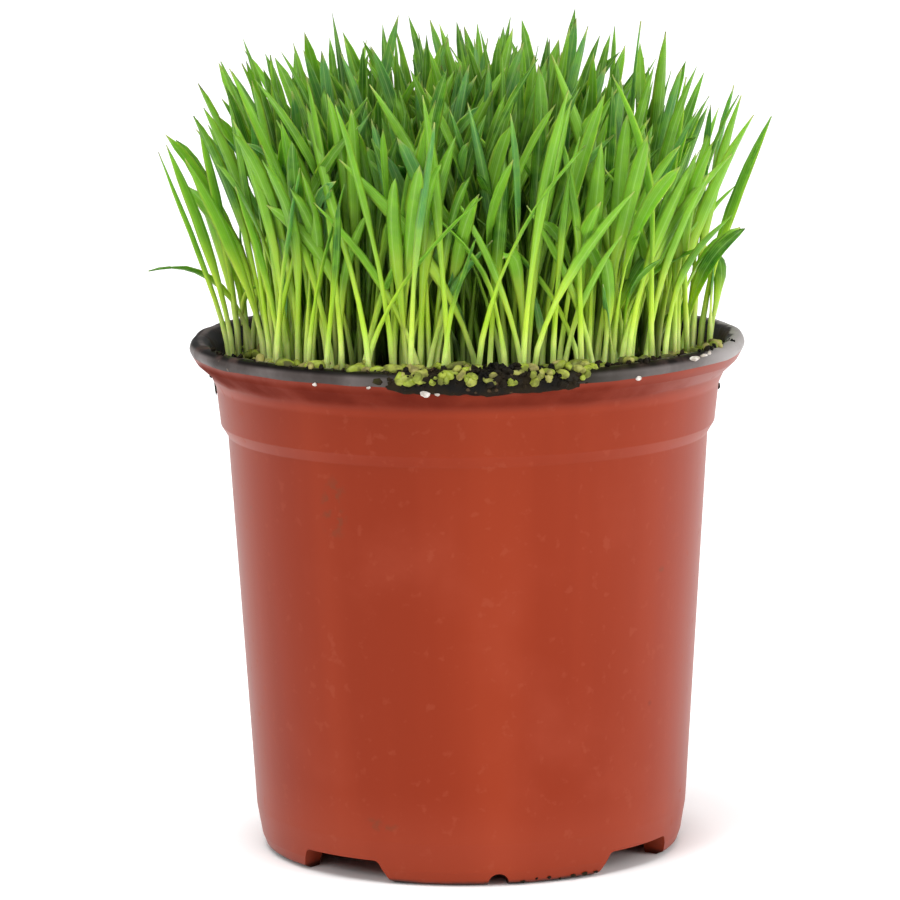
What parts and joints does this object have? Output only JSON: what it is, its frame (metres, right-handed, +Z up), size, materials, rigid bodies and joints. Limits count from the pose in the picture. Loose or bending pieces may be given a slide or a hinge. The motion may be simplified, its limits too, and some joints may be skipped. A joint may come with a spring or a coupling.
{
  "type": "wheatgrass pot",
  "caption": "Young wheatgrass growing densely in dark compost in a thin terracotta-coloured plastic nursery pot with a rolled lip, a stepped collar and a slotted foot.",
  "frame": {"origin": "on the pot's axis, on the ground that its four feet stand on, at the middle of the bounding box's bottom", "axes": "+Z up along the pot's axis; -Y is the front, which faces the viewer in the usual view; +X to the viewer's right"},
  "size_m": [0.1454, 0.1352, 0.197],
  "materials": {
    "pot_plastic": "satin",
    "compost": "matte",
    "leaf": "satin"
  },
  "bodies": {
    "root": {"pot": "pot_plastic", "soil": "compost", "bunch_01": "leaf", "bunch_02": "leaf", "bunch_03": "leaf", "bunch_04": "leaf", "bunch_05": "leaf", "bunch_06": "leaf", "bunch_07": "leaf", "bunch_08": "leaf", "bunch_09": "leaf", "bunch_10": "leaf", "bunch_11": "leaf", "bunch_12": "leaf", "bunch_13": "leaf", "bunch_14": "leaf", "bunch_15": "leaf", "bunch_16": "leaf", "bunch_17": "leaf", "bunch_18": "leaf", "bunch_19": "leaf", "bunch_20": "leaf", "bunch_21": "leaf", "bunch_22": "leaf", "bunch_23": "leaf", "bunch_24": "leaf", "bunch_25": "leaf", "bunch_26": "leaf", "bunch_27": "leaf", "bunch_28": "leaf", "bunch_29": "leaf", "bunch_30": "leaf", "bunch_31": "leaf", "bunch_32": "leaf", "bunch_33": "leaf", "bunch_34": "leaf", "bunch_35": "leaf", "bunch_36": "leaf", "bunch_37": "leaf", "bunch_38": "leaf", "bunch_39": "leaf", "bunch_40": "leaf", "bunch_41": "leaf", "bunch_42": "leaf", "bunch_43": "leaf", "bunch_44": "leaf", "bunch_45": "leaf", "bunch_46": "leaf", "bunch_47": "leaf", "bunch_48": "leaf"}
  },
  "joints": []
}
